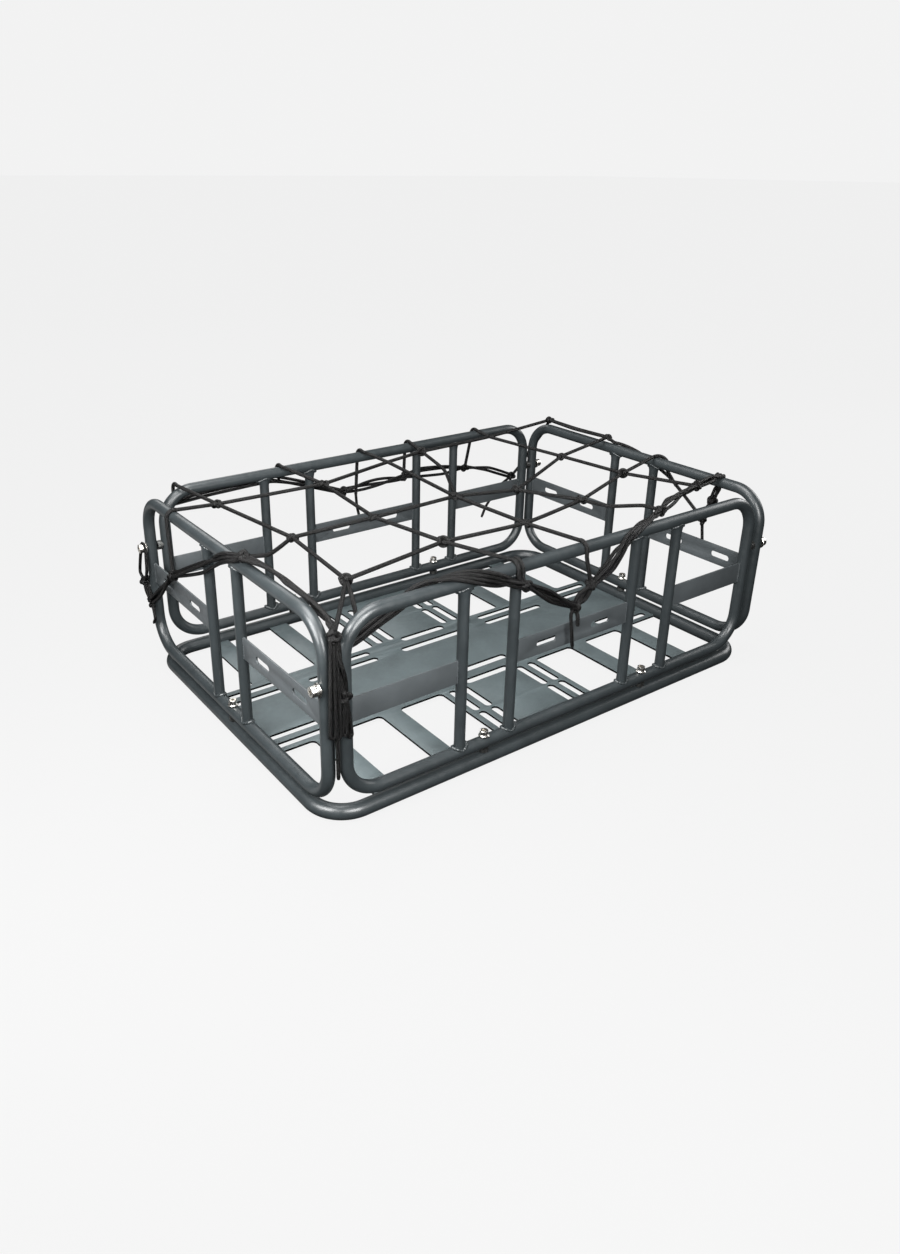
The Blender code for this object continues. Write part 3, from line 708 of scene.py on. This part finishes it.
def screw_mesh(head, flange, key):
    """A flanged socket-head screw, its flange's underside at Z = 0 and its head up.

    The cutter of the hexagon recess is slightly wider at its top, so that the recess catches light.
    """
    head_r, head_h = head
    flange_r, flange_h = flange
    edge = 0.5 * MM
    lip = 0.35 * MM
    profile = [
        (0, head_h), (head_r - 1.9 * edge, head_h), (head_r - edge, head_h - 0.15 * edge),
        (head_r - 0.3 * edge, head_h - 0.5 * edge), (head_r, head_h - 1.3 * edge),
        (head_r, flange_h + 2 * lip), (head_r + lip, flange_h + lip), (flange_r - lip, flange_h),
        (flange_r, flange_h - lip), (flange_r, lip), (flange_r - lip, 0), (0, 0),
    ]
    mesh = bpy.data.meshes.new("screw")
    mesh.from_pydata([(r, 0, z) for r, z in profile], [(i, i + 1) for i in range(len(profile) - 1)], [])
    turned = helper(mesh)
    screw = turned.modifiers.new("turn", "SCREW")
    screw.steps = screw.render_steps = 48
    screw.use_merge_vertices = True
    screw.merge_threshold = 0.001 * MM
    socket = bpy.data.meshes.new("socket")
    work = bmesh.new()
    bmesh.ops.create_cone(
        work,
        cap_ends=True,
        segments=6,
        radius1=key * 0.94,
        radius2=key * 1.06,
        depth=head_h,
        matrix=Matrix.Translation((0, 0, head_h)),
    )
    work.to_mesh(socket)
    work.free()
    cutter = helper(socket)
    cut = turned.modifiers.new("socket", "BOOLEAN")
    cut.operation = "DIFFERENCE"
    cut.object = cutter
    made = evaluated_mesh(turned)
    bpy.data.objects.remove(cutter, do_unlink=True)
    made.shade_smooth()
    made.set_sharp_from_angle(angle=math.radians(32))
    return made


def build_fasteners(look, sleeve_look):
    """The screws, and the sleeves' look: the sleeves' CAD nodes stay as they are."""
    corner = screw_mesh(CORNER_HEAD, CORNER_FLANGE, CORNER_KEY)
    number = 0
    for side in (-1, 1):
        for y in (-LONG_Y, LONG_Y):
            number += 1
            spot = Matrix.Translation((side * (SHORT_X + RAIL_R + GAP), y, CORNER_SCREW_Z))
            mesh = corner.copy()
            mesh.transform(spot @ Matrix.Rotation(side * math.pi / 2, 4, "Y"))
            add_piece(f"corner_bolt_{number}", mesh, look, [f"corner_screw_{number}"])
    base = screw_mesh(BASE_HEAD, BASE_FLANGE, BASE_KEY)
    spots = [(x, y) for x in (-BASE_SCREW_X, BASE_SCREW_X) for y in (-LONG_Y, LONG_Y)]
    for i, (x, y) in enumerate(spots + [(-SHORT_X, 0.0), (SHORT_X, 0.0)]):
        mesh = base.copy()
        mesh.transform(Matrix.Translation((x, y, PANEL_LOW + RAIL_R + GAP)))
        add_piece(f"base_bolt_{i + 1}", mesh, look, [f"base_screw_{i + 1}"])
    for node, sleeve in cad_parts.items():
        if "insert" in node:
            sleeve.data.materials.clear()
            sleeve.data.materials.append(sleeve_look)


# --- net ------------------------------------------------------------------------------------------

# Knots and routes in millimetres, the same as the CAD net's.
MIDDLE_KNOTS = {
    "m1": (-105, 116, 206), "m2": (-117, -8, 205), "m3": (-101, -106, 206), "m4": (-5, -1, 205),
    "m5": (0, -112, 206), "m6": (66, -24, 205.5), "m7": (101, -92, 206),
}
BORDER_KNOTS = {
    "left_rear": (-235, 120, 206), "left_mid": (-217, -13, 206), "left_front": (-228, -131, 206),
    "rear_in": (63, 156, 208), "right_in": (199, 43, 207), "right_mid": (210, -51, 207),
    "front_in": (140, -170, 209), "right_front": (241, -134, 208),
    "left_top": (-289, -53, 215.5), "left_side": (-297.2, 106, 142),
    "right_top": (290, 52, 215.8), "right_rear": (291, 164, 215.3), "right_drop": (297.2, -118, 174),
    "right_side": (297.2, -108, 147),
    "rear_1": (-27, 202.7, 159), "rear_2": (68, 202.7, 161), "rear_3": (172, 202.7, 157),
    "rear_4": (259, 202.7, 129),
    "front_1": (-79, -202.7, 189), "front_2": (-11, -202.7, 149), "front_3": (8, -202.7, 168),
    "corner": (-283, -200, 195), "tie": (-275, -202.7, 138), "hitch": (-297.2, 198.5, 103),
    "foot": (-297.2, 184.5, 82),
}
KNOTS = {**MIDDLE_KNOTS, **BORDER_KNOTS}

# Knots that are two crossed ones, and knots with a ring of cord round them.
DOUBLE_KNOTS = (
    "corner", "front_1", "front_2", "front_3", "front_in", "right_front", "right_drop", "left_side",
    "left_top", "hitch",
)
RINGED_KNOTS = ("left_front", "right_mid", "m3", "rear_in")

# A knot further out than FACE_X, or further out than FACE_Y and below FACE_TOP, lies on a panel's
# outer face.
FACE_X, FACE_Y, FACE_TOP = 295, 199, 200


def over(side, place, drop=0.0, slant=0.0, first=WRAP_START):
    """A cord's points over a top rail, from the basket's inside to `drop` below the rail's middle outside.

    side is front, rear, left or right. place is how far along the rail the cord is inside, and slant
    how much further along it is outside, in millimetres. first is the angle at which it starts.
    """
    along = Vector((1, 0, 0)) if side in ("front", "rear") else Vector((0, 1, 0))
    outward, base = {
        "rear": (Vector((0, 1, 0)), Vector((place * MM, LONG_Y, 0))),
        "front": (Vector((0, -1, 0)), Vector((place * MM, -LONG_Y, 0))),
        "left": (Vector((-1, 0, 0)), Vector((-SHORT_X, place * MM, 0))),
        "right": (Vector((1, 0, 0)), Vector((SHORT_X, place * MM, 0))),
    }[side]
    around = RAIL_R + CORD_R + RAIL_TOUCH
    points = []
    for k in range(WRAP_STEPS + 1):
        angle = math.radians(first + (WRAP_END - first) * k / WRAP_STEPS)
        lift = Vector((0, 0, PANEL_HIGH + around * math.sin(angle)))
        shift = along * (slant * MM * k / WRAP_STEPS)
        points.append(base + outward * (around * math.cos(angle)) + lift + shift)
    if drop:
        below = Vector((0, 0, PANEL_HIGH - drop * MM))
        points.append(base + outward * around + below + along * (slant * MM))
    return points


# Single cords: knots by name, points in millimetres, or a rail wrap.
STRANDS = [
    ["m1", "m2", "m3", "m5", "m7", "m6", "m4", "m5"],
    ["m2", "m4"],
    ["left_rear", over("rear", -252, 6), (-246, 202, 191)],
    ["m1", over("rear", -121, 6), (-117, 202, 192)],
    ["m4", (2, 143, 207.5), over("rear", -6, 6), (-8, 202, 152)],
    ["m1", (2, 143, 207.5), "rear_in", over("rear", 68, 6), "rear_2"],
    ["rear_in", (45, 85, 205), "m4"],
    ["right_in", (178, 160, 209), over("rear", 179, 6), "rear_3"],
    ["rear_in", (178, 160, 209), "right_rear"],
    ["left_front", "left_mid", "left_rear", "m1"],
    ["left_rear", over("left", 112, 8), "left_side"],
    ["left_mid", (-262, -50, 210.5), "left_top"],
    ["left_mid", "m2"],
    ["left_front", "m3"],
    ["left_front", (-252, -163, 204), "corner"],
    ["left_front", (-239, -158, 203), (-243, -170, 193), (-248, -180.5, 180)],
    ["m3", over("front", -86, 6), "front_1"],
    [over("front", -81.3, 6), "front_1"],
    ["m5", over("front", 1, 6), "front_3"],
    ["m6", "right_in", "right_top"],
    ["right_in", "right_mid", "right_front"],
    ["m7", "right_mid", over("right", -34, 8, -12), (298, -62, 178)],
    ["m7", (111, -124, 206), (140, -145, 207), "front_in"],
    ["right_top", over("right", 38, 0, -40, 85), (298.2, -50, 186), (298, -94, 157), "right_side"],
    ["front_in", (171, -151.5, 209.5), (208, -145.5, 209.5), "right_front"],
    ["front_2", (-10, -205.5, 140), (-8.5, -205.5, 129)],
    ["rear_4", (280, 203, 146), (292, 202.5, 162), (298.5, 196, 176), (299, 184, 192), "right_rear"],
]

# Rim bundles: how many cords, how far apart they stray in millimetres along X, Y and Z, and the route.
RIM = [
    (3, (3, 6, 1), ["front_in", (190, -152, 209), "right_front"]),
    (3, (0, 4, 0), ["right_front", over("right", -133, 8, 7), "right_drop"]),
    (3, (0, 2, 0), ["right_drop", "right_side"]),
    (3, (0, 1, 5), ["left_top", over("left", -50, 0, 30, 80), (-298.2, 11, 186), "left_side"]),
    (3, (0, 5, 5), ["left_side", "foot"]),
    (2, (0, 3, 0), ["hitch", "foot"]),
    (3, (3, 0, 1), ["left_top", (-281, -84, 214), (-276.2, -115, 209), (-275.5, -155, 205),
                    (-275.5, -184, 198), "corner"]),
    (4, (2, 0, 4), ["corner", (-277, -193, 187), (-275, -183, 184), (-266, -180.5, 177),
                    (-257, -181, 172), (-228, -181, 184), (-203, -181.5, 194),
                    over("front", -187, 0, 66, 165), "front_1"]),
    (2, (1, 0, 2), ["front_1", (-46, -202.5, 173.5), "front_2"]),
    (2, (1, 0, 2), ["front_1", (-48.5, -203.5, 167), "front_2"]),
    (2, (1, 0, 2), ["front_2", (-6, -203, 161), "front_3"]),
    (2, (1, 0, 2), ["front_2", (0, -203, 155), "front_3"]),
    (2, (3, 0, 5), ["front_3", (32, -202.7, 186), over("front", 94, 0, -38, 110)[::-1], "front_in"]),
    (2, (3, 0, 5), ["front_3", (36, -202.7, 178), over("front", 101, 0, -38, 110)[::-1], "front_in"]),
    (3, (0, 0, 5), [(-252, 202.7, 188), (-200, 202.7, 192), (-128, 202.7, 193), "rear_1"]),
    (3, (0, 0, 7), ["rear_1", "rear_2"]),
    (2, (0, 0, 2), ["rear_2", (94, 202.7, 167), (135, 202.7, 164), "rear_3"]),
    (1, (0, 0, 0), ["rear_2", (90, 202.7, 158), (135, 202.7, 154), "rear_3"]),
    (2, (0, 0, 6), ["rear_3", (215, 202.7, 147), "rear_4"]),
    (3, (3, 0, 1), ["right_rear", (289, 110, 214.5), "right_top"]),
    (2, (1, 0, 1), ["corner", (-281, -203, 184), (-277.5, -203, 160), "tie"]),
]

# Free ends, each with its route from a knot or from the point where it comes out.
TAILS = {
    "net_tail_front": ["front_2", (-17, -203.5, 143), (-15, -204, 125), (-12, -204, 105)],
    "net_tail_rear_left": [(-8, 202, 152), (-6, 203, 135), (-2, 203, 117)],
    "net_tail_rear_right": ["rear_4", (238, 203, 118), (214, 203, 92), (206, 203, 76)],
    "net_tail_right": ["right_side", (298.5, -109, 134), (298.5, -111, 122), (298.5, -112, 113)],
    "net_tail_tie": [(-285, -203.4, 104), (-284.5, -203.6, 84), (-284.4, -203.6, 58.5)],
    "net_tail_foot": ["foot", (-298.5, 176, 74), (-299, 173, 65), (-299, 180, 57)],
}

# Hairpins that hang at the near left corner: their tops, their lowest points and half their widths.
CORNER_LOOPS = [
    ((-286.5, -203.2, 192), (-288.5, -203.6, 101.5), 2.3),
    ((-284.0, -203.6, 192), (-283.4, -204.2, 99.5), 2.1),
    ((-275.0, -203.0, 136), (-277.4, -203.8, 101.0), 1.9),
    ((-275.0, -203.4, 136), (-271.6, -203.0, 96.5), 2.0),
]


def route_points(route):
    """The route in metres: names looked up, single points scaled, wraps taken as they are."""
    points = []
    for item in route:
        if isinstance(item, str):
            points.append(Vector(KNOTS[item]) * MM)
        elif isinstance(item, tuple):
            points.append(Vector(item) * MM)
        else:
            points += item
    return points


def curved(points):
    """A smooth line through the points, with a point every CORD_STEP."""
    line = []
    for i in range(len(points) - 1):
        start, end = points[i], points[i + 1]
        before = points[i - 1] if i else start
        after = points[i + 2] if i + 2 < len(points) else end
        span = (end - start).length
        into = (end - before).normalized() * span
        out = (after - start).normalized() * span
        count = max(1, round(span / CORD_STEP))
        for k in range(count):
            t = k / count
            line.append(
                start * (2 * t**3 - 3 * t**2 + 1) + end * (3 * t**2 - 2 * t**3)
                + (into * (t**3 - 2 * t**2 + t) + out * (t**3 - t**2)) * 0.5
            )
    return line + [points[-1]]


def split_at_knots(route):
    """The route's stretches from one knot, or loose end, to the next."""
    stretches = [[route[0]]]
    for item in route[1:]:
        stretches[-1].append(item)
        if isinstance(item, str) and item is not route[-1]:
            stretches.append([item])
    return stretches


def lifts(end):
    return isinstance(end, str) and end in MIDDLE_KNOTS


def build_strands(look):
    """Single cords. Those between a border knot and a middle one are made as pieces of their own, left
    free.
    """
    fixed, lifted = Pile(), Pile()
    links = 0
    for route in STRANDS:
        for stretch in split_at_knots(route):
            if lifts(stretch[-1]) and not lifts(stretch[0]):
                stretch = stretch[::-1]
            line = curved(route_points(stretch))
            ends = [lifts(stretch[0]), lifts(stretch[-1])]
            if any(ends) and not all(ends):
                links += 1
                build_link(links, line, look)
            else:
                (lifted if all(ends) else fixed).tube(line, CORD_R, CORD_SIDES)
    middle, border = lifted.mesh("net_middle_cords"), fixed.mesh("net_border_cords")
    add_piece("net_middle_cords", middle, look, ["net_middle"], "net")
    add_piece("net_border_cords", border, look, ["net_border"])


def build_link(number, line, look):
    """A cord from a middle knot, where its line starts, to the border."""
    pile = Pile()
    pile.tube(line, CORD_R, CORD_SIDES)
    name = f"net_link_{number}"
    link = add_piece(name, pile.mesh(name), look, body=None)
    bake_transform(link)


def on_rail(point):
    return abs(point.x) > SHORT_X - NEAR_RAIL or abs(point.y) > LONG_Y - NEAR_RAIL


def bundle_lines(line, count, stray, seed):
    """The lines of the cords in a bundle: close at its ends, looser and wandering between them.

    Over a top rail they lie side by side on it instead.
    """
    drift = random.Random(seed)
    twist = drift.uniform(0.3, 0.7) * drift.choice((-1, 1))
    spread = BUNDLE_CORD_R * BUNDLE_SPREAD[count]
    lines = []
    for n in range(count):
        phase = 2 * math.pi * n / count + seed
        wander = Vector((drift.uniform(-1, 1), drift.uniform(-1, 1), drift.uniform(-1, 1)))
        apart = n - (count - 1) / 2
        made = []
        for i, (point, side, up) in enumerate(sections(line, False)):
            t = i / (len(line) - 1)
            open_here = math.sin(math.pi * t) ** 2 * (0.0 if on_top_rail(point) else 1.0)
            angle = phase + 2 * math.pi * twist * t
            offset = (side * math.cos(angle) + up * math.sin(angle)) * spread
            if on_top_rail(point):
                ahead = line[min(i + 1, len(line) - 1)] - line[max(i - 1, 0)]
                offset = ahead.cross(away_from_rail(point)).normalized() * (2 * BUNDLE_CORD_R * apart)
            strayed = Vector([axis * MM * (apart * 0.5 + 0.35 * w) for axis, w in zip(stray, wander)])
            made.append(point + offset + strayed * open_here)
        lines.append(eased(made))
    return lines


def eased(line):
    """The line with its kinks averaged out."""
    for _ in range(3):
        inner = [(a + b * 2 + c) / 4 for a, b, c in zip(line, line[1:], line[2:])]
        line = [line[0]] + inner + [line[-1]]
    return line


def away_from_rail(point):
    """The direction from the nearest top rail's middle to the point."""
    height = point.z - PANEL_HIGH
    if abs(point.y) > LONG_Y - NEAR_RAIL:
        return Vector((0, point.y - math.copysign(LONG_Y, point.y), height))
    return Vector((point.x - math.copysign(SHORT_X, point.x), 0, height))


def on_top_rail(point):
    return point.z > PANEL_HIGH - RAIL_R and on_rail(point)


def build_rim(look):
    pile = Pile()
    for seed, (count, stray, route) in enumerate(RIM):
        for line in bundle_lines(curved(route_points(route)), count, stray, seed):
            pile.tube(line, BUNDLE_CORD_R, CORD_SIDES)
    add_piece("net_rim_bundles", pile.mesh("net_rim_bundles"), look)


def build_tails(look):
    for name, route in TAILS.items():
        line = curved(route_points(route))
        radii = [TAIL_R] * len(line)
        radii[-1] = TAIL_R * CUT_END
        pile = Pile()
        pile.tube(line, radii, CORD_SIDES)
        tail = add_piece(name, pile.mesh(name), look)


def knot_line(centre, axis, size, seed):
    """A closed line tied like an overhand knot round an axis through its centre."""
    turn = axis.to_track_quat("Z", "Y").to_matrix()
    line = []
    steps = 60
    for k in range(steps):
        t = 2 * math.pi * k / steps
        x = math.sin(t + seed) + 2 * math.sin(2 * t + seed)
        y = math.cos(t + seed) - 2 * math.cos(2 * t + seed)
        z = -1.15 * math.sin(3 * t)
        line.append(centre + turn @ (Vector((x, y, z)) * size))
    return line


def knot_axis(name):
    """Across the cords: mostly up inside the rails, and straight out on the panels' outer faces."""
    x, y, z = KNOTS[name]
    drift = random.Random(name)
    tilt = Vector([drift.uniform(-0.35, 0.35) for _ in range(3)])
    if abs(y) > FACE_Y and z < FACE_TOP:
        return Vector((0, math.copysign(1, y), 0)) + tilt
    if abs(x) > FACE_X:
        return Vector((math.copysign(1, x), 0, 0)) + tilt
    return Vector((0, 0, 1)) + tilt


def ring_line(centre, axis, radius):
    """A closed circle round an axis through its centre."""
    turn = axis.to_track_quat("Z", "Y").to_matrix()
    steps = 36
    angles = [2 * math.pi * k / steps for k in range(steps)]
    return [centre + turn @ (Vector((math.cos(angle), math.sin(angle), 0)) * radius) for angle in angles]


def build_knots(look):
    for piece, names, body in (
        ("net_middle_knots", MIDDLE_KNOTS, "net"),
        ("net_border_knots", BORDER_KNOTS, "basket"),
    ):
        pile = Pile()
        for seed, name in enumerate(names):
            centre, axis = Vector(KNOTS[name]) * MM, knot_axis(name)
            pile.tube(knot_line(centre, axis, KNOT_SCALE, seed), KNOT_CORD_R, CORD_SIDES, closed=True)
            if name in DOUBLE_KNOTS:
                crossed = knot_line(centre, axis.orthogonal(), KNOT_SCALE, seed + 1)
                pile.tube(crossed, KNOT_CORD_R, CORD_SIDES, closed=True)
            if name in RINGED_KNOTS:
                pile.tube(ring_line(centre, RING_AXIS, RING_RADIUS), KNOT_CORD_R, CORD_SIDES, closed=True)
        add_piece(piece, pile.mesh(piece), look, body=body)


def build_corner_tie(look):
    """The spare cord's hairpins, hanging in front of the gap between the two legs."""
    pile = Pile()
    for top, low, half in CORNER_LOOPS:
        top, low = Vector(top) * MM, Vector(low) * MM
        lift = Vector((0, 0, 2.5 * MM))
        middle = (top + low) / 2
        legs = []
        for apart in (Vector((-half * MM, 0, 0)), Vector((half * MM, 0, 0))):
            bend = [low + apart + lift, low + apart * 0.7 + lift * 0.3]
            legs.append([top + apart * 0.5, middle + apart * 0.9] + bend)
        pile.tube(curved(legs[0] + [low] + legs[1][::-1]), LOOP_CORD_R, CORD_SIDES)
    add_piece("net_tie_loops", pile.mesh("net_tie_loops"), look, ["net_corner_tie"])


def build_hitch(look):
    """The loop hooked over the far left corner screw's head, squeezed thin where it bears on it."""
    thin = 1.2 * MM
    around = CORNER_HEAD[0] + thin + RAIL_TOUCH
    knot = Vector(KNOTS["hitch"]) * MM
    x = -(SHORT_X + RAIL_R + GAP + CORNER_FLANGE[1] + thin + RAIL_TOUCH)
    loop = [knot, Vector((knot.x, 211.5 * MM, 109 * MM)), Vector((knot.x, 206 * MM, 127 * MM))]
    for degrees in (0, 35, 70, 105, 140, 180):
        angle = math.radians(degrees)
        y = LONG_Y + around * math.cos(angle)
        loop.append(Vector((x, y, CORNER_SCREW_Z + around * math.sin(angle))))
    loop += [Vector((knot.x - MM, 185 * MM, 122 * MM)), Vector((knot.x - MM, 190 * MM, 110 * MM)), knot]
    line = curved(loop)
    radii = [thin if point.z > CORNER_SCREW_Z - MM else CORD_R * 0.85 for point in line]
    for _ in range(2):
        radii = [radii[0]] + [sum(near) / 3 for near in zip(radii, radii[1:], radii[2:])] + [radii[-1]]
    pile = Pile()
    pile.tube(line, radii, CORD_SIDES)
    add_piece("net_hitch", pile.mesh("net_hitch"), look, ["net_hitch_loop"])


# --- stage ----------------------------------------------------------------------------------------


def soft_box(name, size, place, aim, power):
    data = bpy.data.lights.new(name, "AREA")
    data.shape = "RECTANGLE"
    data.size, data.size_y = size
    data.energy = power
    lamp = bpy.data.objects.new(name, data)
    lamp.visible_camera = False
    lamp.location = place
    lamp.rotation_euler = (Vector(aim) - Vector(place)).to_track_quat("-Z", "Y").to_euler()
    bpy.context.scene.collection.objects.link(lamp)


def build_world():
    """A pale studio. The camera sees one even tone; the basket is lit by a room that is bright above,
    dark at its own level and dim below, with one patch of reflected light.
    """
    world = bpy.data.worlds.new("studio")
    nodes = Nodes(world)
    way = nodes.add("TexCoord")["Generated"]
    height = nodes.span(nodes.add("SeparateXYZ", {"Vector": way})["Z"], 0.0, 1.0, -1.0)
    glow = nodes.stops(height, [(position, [value] * 3) for position, value in ROOM_STOPS])
    facing = nodes.add("VectorMath", {0: way, 1: BOUNCE_FROM}, operation="DOT_PRODUCT")["Value"]
    bounce = nodes.span(facing, 0.0, BOUNCE_BRIGHT, BOUNCE_RIM)
    mix = {6: glow, 7: bounce, "Factor": 1.0}
    total = nodes.add("Mix", mix, data_type="RGBA", blend_type="ADD")[2]
    nodes.feed("Background", Color=total, Strength=ROOM_STRENGTH)
    room = nodes.tree.nodes["Background"].outputs[0]
    seen = nodes.add("Background", {"Color": (1.0, 1.0, 1.0, 1.0), "Strength": BACKDROP})[0]
    by_camera = nodes.add("LightPath")["Is Camera Ray"]
    nodes.feed("World Output", Surface=nodes.add("MixShader", {0: by_camera, 1: room, 2: seen})[0])
    bpy.context.scene.world = world
    bpy.context.scene.view_settings.view_transform = "Standard"


def build_stage():
    """The floor, the lamps and the room. The floor glows for the camera only."""
    mesh = bpy.data.meshes.new("studio_floor")
    work = bmesh.new()
    bmesh.ops.create_grid(work, x_segments=1, y_segments=1, size=FLOOR_HALF)
    work.to_mesh(mesh)
    work.free()
    mesh.materials.append(floor_paint())
    floor = bpy.data.objects.new("studio_floor", mesh)
    floor.location.z = cad_box[0].z
    floor.visible_glossy = False
    floor.visible_diffuse = False
    bpy.context.scene.collection.objects.link(floor)
    for lamp in LAMPS:
        soft_box(*lamp)
    build_world()


def main():
    build_camera()
    coat = powder_coat("anthracite_coat", *TUBE_COAT)
    # The flat bars' and the plate's coats are lighter copies of the tubes' coat: painted light.
    strip_lit_coat = powder_coat("flat_bar_lit_coat", *STRIP_LIT_COAT)
    plate_coat = powder_coat("plate_coat", *PLATE_LIT_COAT, painted_edge_shade=True)
    cord = braided_cord()
    build_tails(cord)
    build_strands(cord)
    build_rim(cord)
    build_knots(cord)
    build_corner_tie(cord)
    build_hitch(cord)
    build_base_ring(coat)
    build_base_plate(plate_coat)
    build_long_panel("front", -1, coat, strip_lit_coat)
    build_long_panel("rear", 1, coat, strip_lit_coat)
    build_short_panel("left", -1, coat, strip_lit_coat)
    build_short_panel("right", 1, coat, strip_lit_coat)
    build_fasteners(nickel(), blackened_steel())
    build_stage()


main()
